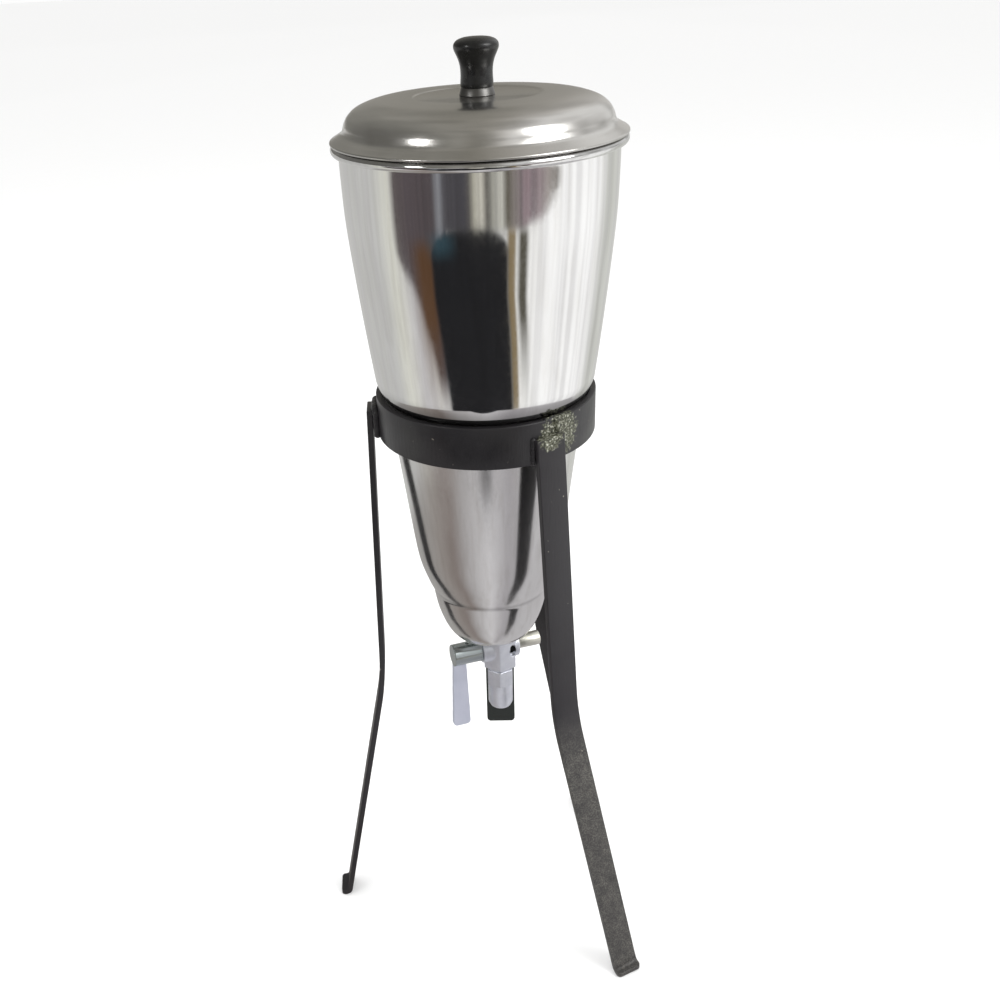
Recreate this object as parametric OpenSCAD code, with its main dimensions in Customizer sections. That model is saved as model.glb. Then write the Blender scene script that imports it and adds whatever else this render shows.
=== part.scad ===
// Double sieve strainer: a lidded cone vessel with two lift-out sieves,
// hung in a hoop stand on three bent flat-bar legs, with a lever tap below.
// Millimetres, +Z up, the floor at Z 0 and the hoop's centre line on X 0, Y 0.
// The tap lever side of the object faces -Y.

/* [Stand] */
// outside radius of the hoop
hoop_r = 90.5; // [88:0.5:94]
// thickness of the hoop's flat bar
hoop_t = 5; // [3:0.5:6]
// height of the hoop's flat bar
hoop_h = 35; // [25:1:40]
// height of the hoop's top edge above the floor
hoop_top = 561; // [555:1:561]
// width of the legs' flat bar
leg_w = 25; // [20:1:30]
// thickness of the legs' flat bar
leg_t = 5; // [4:0.5:6]
// outward tilt of each leg below its bend, degrees
splay = 11; // [9:0.5:13]
// length of the flat toe beyond the leg
toe_l = 8; // [6:1:14]

/* [Vessel] */
// wall thickness of the spun vessel
wall = 1.5; // [1:0.1:2]
// radius of the rolled rim bead
bead_r = 3.5; // [3:0.5:4]

/* [Lid] */
// sheet thickness of the lid
lid_t = 1.2; // [0.8:0.1:1.5]
// outside radius of the lid's flange
lid_r = 111.3; // [110:0.1:112]
// widest radius of the knob
knob_r = 16.6; // [14:0.2:18]

/* [Tap] */
// sideways offset of the outlet from the vessel's centre line
tap_x = 7; // [0:0.5:7]
// turn of the cross spindle away from the X axis, degrees
tap_turn = 19.5; // [0:0.5:25]
// outside radius of the spout
spout_r = 11.6; // [10:0.1:12]
// inside radius of the spout
spout_bore = 8; // [6:0.1:8.5]
// length of the lever below the spindle's centre line
lever_l = 80; // [60:1:84]

/* [Sieves] */
// height of each sieve's hoop
sieve_h = 25; // [18:1:26]
// thickness that stands in for the woven mesh
mesh_t = 0.8; // [0.6:0.1:1]

/* [Hidden] */
$fn = 96;

gap_z = 760;                 // plane where the lid's flange meets the rim bead
floor_z = 320;               // underside of the vessel's flat bottom
hoop_in = hoop_r - hoop_t;
leg_top = 548;               // upper end of every leg
up_tilt = 1.4;               // outward tilt of a leg above its bend
up_len = 241;                // straight length above the bend
bend_r = 320;                // outer face radius of the leg's long bend
bend_a = splay - up_tilt;
axis_z = 302;                // height of the tap's cross spindle
plug_r = 8;
lid_z = 788.6;               // face of the recess in the lid's middle
skirt = 9;                   // depth of the lid's locating skirt inside the mouth
fine_z = 665;                // lower edge of the fine sieve's hoop
coarse_z = fine_z + sieve_h + 0.3;

black = [0.13, 0.13, 0.14];
alu = [0.78, 0.78, 0.80];
cast = [0.66, 0.67, 0.70];
brass = [0.74, 0.70, 0.52];
steel = [0.6, 0.6, 0.62];
rubber = [0.16, 0.16, 0.16];

// a smooth curve through points p, with n steps between each point and the next
function curve(p, n) = concat([for (i = [0 : len(p) - 2], k = [0 : n - 1])
  let (t = k / n, a = p[max(i - 1, 0)], b = p[i], c = p[i + 1], d = p[min(i + 2, len(p) - 1)])
  0.5 * (2 * b + (c - a) * t + (2 * a - 5 * b + 4 * c - d) * t * t
    + (3 * b - a - 3 * c + d) * t * t * t)], [p[len(p) - 1]]);
// direction of a profile at its point i
function along(p, i) = let (d = p[min(i + 1, len(p) - 1)] - p[max(i - 1, 0)]) d / norm(d);
// the same profile moved t to the left of its direction
function beside(p, t) = [for (i = [0 : len(p) - 1])
  let (d = along(p, i)) [p[i][0] - d[1] * t, p[i][1] + d[0] * t]];
function reversed(p) = [for (i = [len(p) - 1 : -1 : 0]) p[i]];

// the vessel's outside, radius and height: bowl, waist with a crease, cone, upper cone
bowl = curve([[22, 320], [33, 323.5], [41, 334], [47, 350], [50, 364], [51, 372]], 4);
waist = curve([[51.6, 373.5], [56, 384], [62, 403], [65.8, 427], [71, 470], [77.5, 522],
  [82.5, 552], [85.1, 561.3], [87.6, 566.5], [89.6, 573]], 4);
cone = curve([[90, 576], [93.3, 602], [98.8, 650], [103.6, 700], [105, 735], [105.2, 757]], 4);
vessel_line = concat(bowl, waist, cone);

// the lid's outside from the flange's edge to the rim of the middle recess
lid_line = concat([[lid_r, gap_z + 1.8]],
  curve([[lid_r - 1, gap_z + 3.2], [106.5, 765], [102.4, 767.6], [100.8, 770.4], [99.6, 774],
    [96.6, 779], [89.6, 784.2], [76, 788.2], [60, 789.4], [48, 789.6]], 3));
// the same for the lid's inside
lid_inside = [for (q = beside(lid_line, lid_t)) if (q[1] > 768 && q[0] > 48) q];

// radius of the vessel's inner face at height z in its upper cone
function inner_r(z) = lookup(z, [for (q = cone) [q[1], q[0]]]) - wall * 1.02;

// sets a child at azimuth a, measured from -Y towards +X; its +X then points outwards
module around(a) rotate([0, 0, a - 90]) children();

module tube(r, bore, z0, z1) translate([0, 0, z0]) difference() {
  cylinder(r = r, h = z1 - z0);
  translate([0, 0, -1]) cylinder(r = bore, h = z1 - z0 + 2);
}

// ---- stand ----
module stand_hoop() color(black) tube(hoop_r, hoop_in, hoop_top - hoop_h, hoop_top);

// a point of the leg's long bend at face radius r, a degrees into the bend
function bend_point(r, a) = [leg_t + bend_r - r * cos(a), -up_len - r * sin(a)];
// a leg seen from the side: straight, then the bend, then a straight tail
function leg_side(tail) = let (steps = 12, out = tail * [sin(bend_a), -cos(bend_a)]) concat(
  [[leg_t, 0], [0, 0]],
  [for (i = [0 : steps]) bend_point(bend_r + leg_t, bend_a * i / steps)],
  [bend_point(bend_r + leg_t, bend_a) + out, bend_point(bend_r, bend_a) + out],
  [for (i = [steps : -1 : 0]) bend_point(bend_r, bend_a * i / steps)]);

module toe_plan() difference() {
  square([toe_l + leg_t, leg_w]);
  for (y = [0, leg_w]) translate([toe_l + leg_t, y]) square(8, center = true);
}

module toe() {
  r = 4;
  linear_extrude(leg_t) {
    toe_plan();
    for (y = [r, leg_w - r]) translate([toe_l + leg_t - r, y]) circle(r = r);
  }
}

// one leg at azimuth a; side_up and side_low lean it sideways above and below the bend,
// and stand_off is the pad that holds its upper end away from the hoop
module leg(a, side_up, side_low, stand_off) color(black) around(a)
  translate([hoop_r + 0.05 + stand_off, 0, leg_top]) {
    if (stand_off > 0) translate([-stand_off, -leg_w / 2, -22])
      cube([stand_off + 1, leg_w, 22]);
    difference() {
      rotate([side_up, 0, 0]) rotate([0, -up_tilt, 0]) {
        kink = side_low - side_up;
        slack = 0.06;        // the tail below a kink is this much smaller all round
        rotate([90, 0, 0]) linear_extrude(leg_w, center = true)
          polygon(leg_side(kink == 0 ? 300 : 4));
        if (kink != 0) translate([leg_t + bend_r, 0, -up_len]) rotate([0, -bend_a, 0])
          translate([-bend_r, 0, -1.5]) rotate([kink, 0, 0])
            translate([slack - leg_t, slack - leg_w / 2, -300])
              cube([leg_t - 2 * slack, leg_w - 2 * slack, 300]);
      }
      translate([0, 0, -leg_top - 50]) cube([600, 600, 100], center = true);
    }
    foot_at(side_up, side_low) toe();
  }

// moves its children to the lower end of a leg, flat on the floor
module foot_at(side_up, side_low) {
  out_up = up_len * sin(up_tilt) + bend_r * (cos(up_tilt) - cos(splay));
  down_up = (up_len * cos(up_tilt) + bend_r * (sin(splay) - sin(up_tilt))) * cos(side_up);
  rest = leg_top - down_up;
  translate([out_up + rest * tan(splay) / cos(side_low) - 1.2,
    down_up * tan(side_up) + rest * tan(side_low) - leg_w / 2, -leg_top]) children();
}

module leg_front() leg(31.2, 2.6, 7, 0);
module leg_left() leg(-86.6, 1.1, -2.2, 3.4);
module leg_rear() leg(147.6, 0, -4.2, 0);

module weld_beads() color(black) {
  for (q = [[31.2, 2.6, 0], [-86.6, 1.1, 3.4], [147.6, 0, 0]]) around(q[0]) difference() {
    for (y = [-1, 1]) translate([hoop_r + 0.4, y * (leg_w / 2 + 0.8), leg_top - 20])
      rotate([q[1], 0, 0]) cylinder(r = 3, h = 19);
    translate([0, 0, hoop_top - hoop_h - 5]) cylinder(r = hoop_r + 0.02, h = hoop_h + 10);
    translate([hoop_r + 0.05 + q[2], 0, leg_top]) rotate([q[1], 0, 0])
      rotate([0, -up_tilt, 0]) translate([-8, -leg_w / 2 - 0.02, -40])
        cube([20, leg_w + 0.04, 50]);
    translate([hoop_r - 8, -leg_w / 2 - 0.02, leg_top - 30]) cube([20, leg_w + 0.04, 40]);
  }
}

// ---- vessel ----
module vessel() color(alu) difference() {
  rotate_extrude() {
    polygon(concat([[0, floor_z]], vessel_line,
      reversed(beside(vessel_line, wall)), [[0, floor_z + wall]]));
    translate([107.6, gap_z - 0.2 - bead_r]) circle(r = bead_r, $fn = 40);
  }
  translate([tap_x, 0, floor_z - 5]) cylinder(r = 8.1, h = 10);
}

module outlet_nut() color(brass) translate([tap_x, 0, floor_z + wall + 1.5]) difference() {
  cylinder(r = 13, h = 5, $fn = 6);
  translate([0, 0, -1]) cylinder(r = 8.05, h = 7);
}

module seal_inner() color(rubber) translate([tap_x, 0, 0])
  tube(12, 8.1, floor_z + wall, floor_z + wall + 1.5);

module seal_outer() color(rubber) translate([tap_x, 0, 0])
  tube(12, 8.1, floor_z - 2, floor_z);

// ---- tap ----
// sets children at the spindle's centre, with +X along the spindle and -X to the lever
module at_spindle() translate([tap_x, 0, axis_z]) rotate([0, 0, tap_turn]) children();
// a bar along the spindle from x0 to x1
module spindle(r, x0, x1) translate([x0, 0, 0]) rotate([0, 90, 0])
  cylinder(r = r, h = x1 - x0);

module tap_body() color(cast) difference() {
  union() {
    translate([tap_x, 0, 283]) rotate([0, 0, 30]) cylinder(r = 29 / sqrt(3), h = 35, $fn = 6);
    translate([tap_x, 0, 279]) cylinder(r1 = 11.4, r2 = 14, h = 4);
    translate([tap_x, 0, 317]) cylinder(r = 8, h = 14);
    at_spindle() spindle(12.5, -19, 16);
    translate([tap_x, 0, axis_z]) rotate([-90, 0, 0]) cylinder(r = 5, h = 17);
  }
  at_spindle() {
    spindle(plug_r + 0.05, -30, 30);
    // shallow slot in the front of the barrel, beside the middle
    for (z = [-3.5, 3.5]) translate([8.4, 0, z]) rotate([90, 0, 0])
      translate([0, 0, 9.8]) cylinder(r = 2.7, h = 12);
    translate([5.7, -21.8, -3.5]) cube([5.4, 12, 7]);
  }
  translate([tap_x, 0, 270]) cylinder(r = 5, h = 70);
  translate([tap_x, 0, 270]) cylinder(r = 9.55, h = 19);
  translate([tap_x, 12, axis_z]) rotate([-90, 0, 0]) cylinder(r = 2.05, h = 10);
}

module spout() color(cast) translate([tap_x, 0, 0]) difference() {
  union() {
    translate([0, 0, 240]) cylinder(r = spout_r, h = 38.9);
    translate([0, 0, 236]) cylinder(r1 = spout_r - 1.8, r2 = spout_r, h = 4);
    translate([0, 0, 262]) rotate([0, 0, 30]) cylinder(r = 13.3, h = 16.9, $fn = 6);
    translate([0, 0, 270]) cylinder(r = 9.5, h = 18);
  }
  translate([0, 0, 230]) cylinder(r = spout_bore, h = 70);
}

module back_plate() color(black) difference() {
  translate([tap_x, 17.1, 0]) rotate([-90, 0, 0]) mirror([0, 1, 0]) linear_extrude(3.5) {
    translate([-13.5, 204]) square([27, 109]);
    translate([-9.5, 200]) square([19, 8]);
    for (x = [-9.5, 9.5]) translate([x, 204]) circle(r = 4);
  }
  translate([tap_x, 10, axis_z]) rotate([-90, 0, 0]) cylinder(r = 2.2, h = 20);
}

module back_plate_screw() color(steel) translate([tap_x, 0, axis_z]) rotate([-90, 0, 0])
  difference() {
    union() {
      translate([0, 0, 13]) cylinder(r = 2, h = 8);
      translate([0, 0, 20.65]) cylinder(r = 4, h = 2.6);
    }
    translate([-0.6, -5, 22.2]) cube([1.2, 10, 3]);
  }

module tap_plug() color(brass) at_spindle() difference() {
  union() {
    spindle(plug_r, -19.2, 16.2);
    spindle(4, 16, 36);
    spindle(5, -44, -19);
  }
  rotate([90, 0, 0]) cylinder(r = 4.5, h = 40, center = true);
  translate([-32, 0, -20]) cylinder(r = 1.55, h = 40);
}

module tap_lever() color(cast) at_spindle() difference() {
  union() {
    spindle(10.2, -46.2, -19.3);
    // flat blade, narrow at the hub and wider at its rounded end
    translate([0, 2.5, 0]) rotate([90, 0, 0]) linear_extrude(5) {
      polygon([[-46, -4], [-34, -4], [-31.6, -lever_l + 4], [-35, -lever_l],
        [-45.5, -lever_l], [-48.6, -lever_l + 4]]);
      translate([-35.6, -lever_l + 4]) circle(r = 4);
      translate([-44.6, -lever_l + 4]) circle(r = 4);
    }
  }
  spindle(5.02, -44.1, -10);
  translate([-32, 0, -20]) cylinder(r = 1.55, h = 40);
}

module lever_pin() color(steel) at_spindle() translate([-32, 0, -8.4])
  cylinder(r = 1.5, h = 16.8);

module plug_washer() color(steel) at_spindle() difference() {
  spindle(7.5, 16.3, 17.5);
  spindle(4.1, 10, 20);
}

module plug_nut() color(brass) at_spindle() difference() {
  spindle(6.8, 17.6, 38.8);
  spindle(4.03, 10, 36.5);
}

// ---- lid ----
module lid_shell() color(alu) difference() {
  rotate_extrude() polygon(concat([[lid_r, gap_z]], lid_line,
    [[46.6, lid_z], [0, lid_z], [0, lid_z - lid_t], [47.6, lid_z - lid_t]],
    reversed(lid_inside), [[101, 768], [101, gap_z - skirt], [102.4, gap_z - skirt],
    [102.4, gap_z]]));
  translate([0, 0, gap_z]) cylinder(r = 3.1, h = 40);
}

module knob_collar() color(alu) difference() {
  translate([0, 0, lid_z]) cylinder(r1 = 13.2, r2 = 11.8, h = 5.4);
  translate([0, 0, 780]) cylinder(r = 3.1, h = 20);
}

module knob() color(black) difference() {
  rotate_extrude() difference() {
    polygon([[0, 794], [12, 794], [12.1, 797], [11.8, 803], [12, 808], [13.4, 813.5],
      [15.4, 817.5], [knob_r, 820.5], [knob_r, 823], [15.6, 825.6], [13, 827.2],
      [8, 828.2], [0, 828.5]]);
  }
  translate([0, 0, 790]) cylinder(r = 3.02, h = 22);
}

module knob_screw() color(steel) {
  translate([0, 0, 783.6]) cylinder(r = 3, h = 27.4);
  difference() {
    translate([0, 0, 782.4]) cylinder(r = 5.5, h = 3.6);
    translate([-6, -0.7, 781]) cube([12, 1.4, 2.6]);
  }
}

module knob_washer() color(steel) tube(8, 3.1, 786.05, 787.35);

// ---- sieves ----
// a hoop that follows the vessel's inner cone from z0 up
module sieve_hoop(z0, r0, r1) rotate_extrude() polygon([[r0 - 1.2, z0], [r0, z0],
  [r1, z0 + sieve_h], [r1 - 1.2, z0 + sieve_h]]);

// a dished disc of radius r whose rim is at height z and middle is drop lower
module dish(r, z, drop) {
  big = (r * r + drop * drop) / (2 * drop);
  intersection() {
    translate([0, 0, z + big - drop]) difference() {
      sphere(r = big, $fn = 180);
      sphere(r = big - mesh_t, $fn = 180);
    }
    translate([0, 0, z - drop - 5]) cylinder(r = r, h = drop + 5);
  }
}

// two small wire loops inside a hoop whose inner face has radius r, feet at height z
module grips(r, z) {
  wire = 1.5;
  wide = 11;
  rise = 4;
  for (side = [0, 180]) rotate([0, 0, side]) intersection() {
    translate([r - 8, 0, z + rise]) rotate([90, 0, 90]) {
      difference() {
        rotate_extrude() translate([wide, 0]) circle(r = wire, $fn = 24);
        translate([-20, -20, -5]) cube([40, 20, 10]);
      }
      for (y = [-wide, wide]) {
        translate([y, 0, 0]) rotate([90, 0, 0]) cylinder(r = wire, h = rise);
        translate([y, -rise, 0]) sphere(r = wire, $fn = 24);
        translate([y, -rise, 0]) cylinder(r = wire, h = 12);
      }
    }
    cylinder(r = r - 0.02, h = gap_z);
  }
}

module fine_hoop() color(steel)
  sieve_hoop(fine_z, inner_r(fine_z) - 0.3, inner_r(fine_z + sieve_h) - 0.3);
module fine_mesh() color(steel) dish(inner_r(fine_z) - 1.52, fine_z + 1.5, 30);
module fine_grips() color(steel) grips(inner_r(fine_z + 3) - 1.5, fine_z + 4.5);
module coarse_hoop() color(steel)
  sieve_hoop(coarse_z, inner_r(coarse_z) - 0.3, inner_r(coarse_z) - 0.3);
module coarse_mesh() color(steel) dish(inner_r(coarse_z) - 1.52, coarse_z + 1.5, 14);
module coarse_grips() color(steel) grips(inner_r(coarse_z) - 1.5, coarse_z + 6);

stand_hoop();
leg_front();
leg_left();
leg_rear();
weld_beads();
vessel();
outlet_nut();
seal_inner();
seal_outer();
tap_body();
spout();
back_plate();
back_plate_screw();
tap_plug();
tap_lever();
lever_pin();
plug_washer();
plug_nut();
lid_shell();
knob_collar();
knob();
knob_screw();
knob_washer();
fine_hoop();
fine_mesh();
fine_grips();
coarse_hoop();
coarse_mesh();
coarse_grips();
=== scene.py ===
import bpy, random
from math import pi, sin, cos, radians, hypot, sqrt
from mathutils import Matrix, Vector


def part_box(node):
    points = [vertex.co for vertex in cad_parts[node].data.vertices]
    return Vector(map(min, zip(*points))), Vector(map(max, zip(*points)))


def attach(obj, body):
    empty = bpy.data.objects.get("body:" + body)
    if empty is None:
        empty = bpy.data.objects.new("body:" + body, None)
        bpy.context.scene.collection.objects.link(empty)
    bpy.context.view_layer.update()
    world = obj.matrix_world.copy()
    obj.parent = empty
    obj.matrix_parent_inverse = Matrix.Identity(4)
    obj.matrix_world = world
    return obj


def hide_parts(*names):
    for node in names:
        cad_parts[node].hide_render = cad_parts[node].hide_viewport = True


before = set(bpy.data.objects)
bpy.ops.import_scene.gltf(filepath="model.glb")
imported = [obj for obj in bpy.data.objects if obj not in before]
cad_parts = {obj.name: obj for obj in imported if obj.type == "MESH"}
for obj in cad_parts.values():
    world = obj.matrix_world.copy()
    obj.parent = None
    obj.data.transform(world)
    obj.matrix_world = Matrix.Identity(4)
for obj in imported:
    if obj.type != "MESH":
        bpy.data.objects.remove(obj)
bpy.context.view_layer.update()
mm = 0.001
random.seed(7)
print("frame loaded:", len(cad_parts), "nodes")


def deselectAll():
    if bpy.context.object and bpy.context.object.mode != "OBJECT":
        bpy.ops.object.mode_set(mode="OBJECT")
    bpy.ops.object.select_all(action="DESELECT")


def makeActive(obj):
    deselectAll()
    obj.select_set(True)
    bpy.context.view_layer.objects.active = obj


def selectVerts(obj, wanted):
    # picks vertices by their place and leaves the piece in edit mode
    makeActive(obj)
    bpy.ops.object.mode_set(mode="EDIT")
    bpy.ops.mesh.select_mode(type="VERT")
    bpy.ops.mesh.select_all(action="DESELECT")
    bpy.ops.object.mode_set(mode="OBJECT")
    for vert in obj.data.vertices:
        vert.select = bool(wanted(vert))
    bpy.ops.object.mode_set(mode="EDIT")


def turnPicked(degrees, axis, pivot):
    # right-hand turn about a row axis; with no window the operator turns the other way
    bpy.ops.transform.rotate(value=-radians(degrees), orient_axis=axis, center_override=pivot)


def applyModifier(obj, kind, **settings):
    makeActive(obj)
    modifier = obj.modifiers.new(kind.title(), kind)
    for key, value in settings.items():
        setattr(modifier, key, value)
    bpy.ops.object.modifier_apply(modifier=modifier.name)


def smoothByAngle(obj, degrees=35):
    makeActive(obj)
    bpy.ops.object.shade_smooth_by_angle(angle=radians(degrees))


def joinPieces(pieces, name):
    deselectAll()
    for piece in pieces:
        piece.select_set(True)
    bpy.context.view_layer.objects.active = pieces[0]
    bpy.ops.object.join()
    pieces[0].name = name
    return pieces[0]


def curveThrough(points, steps):
    # a smooth line through a few points, in the same way as the part's own outlines
    line = []
    for i in range(len(points) - 1):
        a, b = points[max(i - 1, 0)], points[i]
        c, d = points[i + 1], points[min(i + 2, len(points) - 1)]
        for k in range(steps):
            t = k / steps
            line.append(tuple(0.5 * (2 * b[j] + (c[j] - a[j]) * t
                                     + (2 * a[j] - 5 * b[j] + 4 * c[j] - d[j]) * t * t
                                     + (3 * b[j] - a[j] - 3 * c[j] + d[j]) * t ** 3) for j in (0, 1)))
    return line + [tuple(points[-1])]


def arc(centre, radius, start, end, steps):
    # degrees from +r towards +z
    turns = [radians(start + (end - start) * k / steps) for k in range(steps + 1)]
    return [(centre[0] + radius * cos(t), centre[1] + radius * sin(t)) for t in turns]


def beside(line, gap):
    # the same line moved to the left of its direction
    moved = []
    for i, point in enumerate(line):
        a, b = line[max(i - 1, 0)], line[min(i + 1, len(line) - 1)]
        size = hypot(b[0] - a[0], b[1] - a[1])
        moved.append((point[0] - (b[1] - a[1]) / size * gap, point[1] + (b[0] - a[0]) / size * gap))
    return moved


def spinOutline(name, outline, steps=192, centreX=0.0):
    # outline points are radius and height in millimetres
    deselectAll()
    bpy.ops.mesh.primitive_plane_add(size=mm)
    obj = bpy.context.object
    obj.name = name
    bpy.ops.object.mode_set(mode="EDIT")
    bpy.ops.mesh.select_mode(type="VERT")
    bpy.ops.mesh.select_all(action="SELECT")
    bpy.ops.mesh.merge(type="CENTER")
    first = outline[0]
    bpy.ops.transform.translate(value=(first[0] * mm + centreX, 0, first[1] * mm))
    for a, b in zip(outline, outline[1:]):
        step = ((b[0] - a[0]) * mm, 0, (b[1] - a[1]) * mm)
        bpy.ops.mesh.extrude_region_move(TRANSFORM_OT_translate={"value": step})
    bpy.ops.mesh.select_all(action="SELECT")
    bpy.ops.mesh.spin(steps=steps, angle=2 * pi, center=(centreX, 0, 0), axis=(0, 0, 1))
    bpy.ops.mesh.select_all(action="SELECT")
    bpy.ops.mesh.remove_doubles(threshold=2e-6)
    bpy.ops.mesh.normals_make_consistent(inside=False)
    bpy.ops.object.mode_set(mode="OBJECT")
    return obj


def copyNode(node, name):
    # a welded copy of a CAD node, to be shaped further
    makeActive(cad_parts[node])
    bpy.ops.object.duplicate()
    obj = bpy.context.object
    obj.name = name
    obj.parent = None
    bpy.ops.object.mode_set(mode="EDIT")
    bpy.ops.mesh.select_all(action="SELECT")
    bpy.ops.mesh.remove_doubles(threshold=5e-6)
    bpy.ops.object.mode_set(mode="OBJECT")
    return obj


def finishPiece(obj, body, material, nodes=(), degrees=35):
    obj.data.materials.clear()
    obj.data.materials.append(material)
    if degrees:
        smoothByAngle(obj, degrees)
    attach(obj, body)
    if nodes:
        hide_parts(*nodes)


def hexColour(code):
    channels = [int(code[i:i + 2], 16) / 255 for i in (1, 3, 5)]
    linear = [c / 12.92 if c <= 0.04045 else ((c + 0.055) / 1.055) ** 2.4 for c in channels]
    return (*linear, 1.0)


def feed(tree, node, inputs):
    # each input takes a socket to link, a hex colour or a plain value
    for key, value in inputs.items():
        if isinstance(value, bpy.types.NodeSocket):
            tree.links.new(value, node.inputs[key])
        else:
            node.inputs[key].default_value = hexColour(value) if isinstance(value, str) else value


def addNode(tree, kind, inputs=None, output=0, stops=None, **settings):
    # adds a node, fills its inputs and gives back one of its outputs
    node = tree.nodes.new("ShaderNode" + kind)
    for key, value in settings.items():
        setattr(node, key, value)
    for _ in (stops or [])[2:]:
        node.color_ramp.elements.new(0.5)
    for element, (place, colour) in zip(node.color_ramp.elements if stops else [], stops or []):
        element.position = place
        element.color = hexColour(colour) if isinstance(colour, str) else (colour, colour, colour, 1)
    feed(tree, node, inputs or {})
    return node.outputs[output]


def newMaterial(name):
    material = bpy.data.materials.new(name)
    material.use_nodes = True
    tree = material.node_tree
    shader = tree.nodes["Principled BSDF"]
    place = addNode(tree, "TexCoord", output="Object")
    return material, tree, shader, place


def blotches(tree, place, featureMm, detail=3.0, stretch=(1, 1, 1)):
    # soft uneven patches; featureMm is the real size of one
    scaled = addNode(tree, "Mapping", {"Vector": place, "Scale": stretch})
    return addNode(tree, "TexNoise",
                   {"Vector": scaled, "Scale": 1 / (featureMm * mm), "Detail": detail})


def nearTo(tree, place, centre, reach):
    # 1 at the centre, falling to 0 at reach, both in millimetres
    gap = addNode(tree, "VectorMath", {0: place, 1: [c * mm for c in centre]}, "Value",
                  operation="DISTANCE")
    return addNode(tree, "MapRange",
                   {"Value": gap, "From Min": 0.0, "From Max": reach * mm, "To Min": 1.0, "To Max": 0.0})


def brushedEnamel(name, dark, light, weldSpot=None, lowerWearAndLight=False):
    # black enamel brushed over hot-rolled bar: soft brush ridges, chips down to grey steel,
    # and low on the leg a dry, crackled, greyer film: paint handled and scuffed there, with painted
    # light mixed in where the lower bar tilts up towards the lamps
    material, tree, shader, place = newMaterial(name)
    height = addNode(tree, "SeparateXYZ", {0: place}, "Z")
    cloud = blotches(tree, place, 22)
    ridge = blotches(tree, place, 2.2, 2, (1, 1, 0.15))
    grit = blotches(tree, place, 1.3, 5)
    colour = addNode(tree, "Mix", {0: cloud, 6: dark, 7: light}, 2, data_type="RGBA")
    rough = addNode(tree, "ValToRGB", {0: cloud}, stops=[(0.3, 0.3), (0.7, 0.44)])
    bumpHeight = ridge
    # painted light and wear: low on the leg the enamel is painted greyer in ragged patches, partly
    # scuffed paint, partly the light falling on the upturned lower bar
    if lowerWearAndLight:
        band = addNode(tree, "MapRange", {"Value": height, "From Min": 0.285, "From Max": 0.235})
        ragged = addNode(tree, "Math",
                         {0: band, 1: addNode(tree, "ValToRGB", {0: blotches(tree, place, 9, 4)},
                                              stops=[(0.25, 0.35), (0.6, 1.0)])}, operation="MULTIPLY")
        grain = addNode(tree, "ValToRGB", {0: grit},
                        stops=[(0.36, "#333130"), (0.5, "#484643"), (0.66, "#605e58")])
        colour = addNode(tree, "Mix", {0: ragged, 6: colour, 7: grain}, 2, data_type="RGBA")
        rough = addNode(tree, "Mix", {0: ragged, 2: rough, 3: 0.52})
        bumpHeight = addNode(tree, "Mix", {0: ragged, 2: ridge, 3: grit})
    chips = addNode(tree, "ValToRGB", {0: blotches(tree, place, 3.4, 4)},
                    stops=[(0.73, 0.0), (0.76, 1.0)])
    if weldSpot:
        near = nearTo(tree, place, weldSpot["centre"], weldSpot["reach"])
        flakes = blotches(tree, place, 3.0, 5)
        bare = addNode(tree, "ValToRGB",
                       {0: addNode(tree, "Math", {0: near, 1: flakes}, operation="MULTIPLY")},
                       stops=[(0.16, 0.0), (0.22, 1.0)])
        olive = addNode(tree, "ValToRGB", {0: blotches(tree, place, 1.6, 4)},
                        stops=[(0.36, "#1c1d18"), (0.5, "#494a38"), (0.6, "#77786a"), (0.7, "#b9b9ad")])
        colour = addNode(tree, "Mix", {0: bare, 6: colour, 7: olive}, 2, data_type="RGBA")
        rough = addNode(tree, "Mix", {0: bare, 2: rough, 3: 0.5})
    colour = addNode(tree, "Mix", {0: chips, 6: colour, 7: "#9a968c"}, 2, data_type="RGBA")
    bump = addNode(tree, "Bump", {"Height": bumpHeight, "Distance": 0.25 * mm, "Strength": 0.5})
    feed(tree, shader, {"Base Color": colour, "Roughness": rough, "Metallic": chips, "Normal": bump})
    return material


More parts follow.
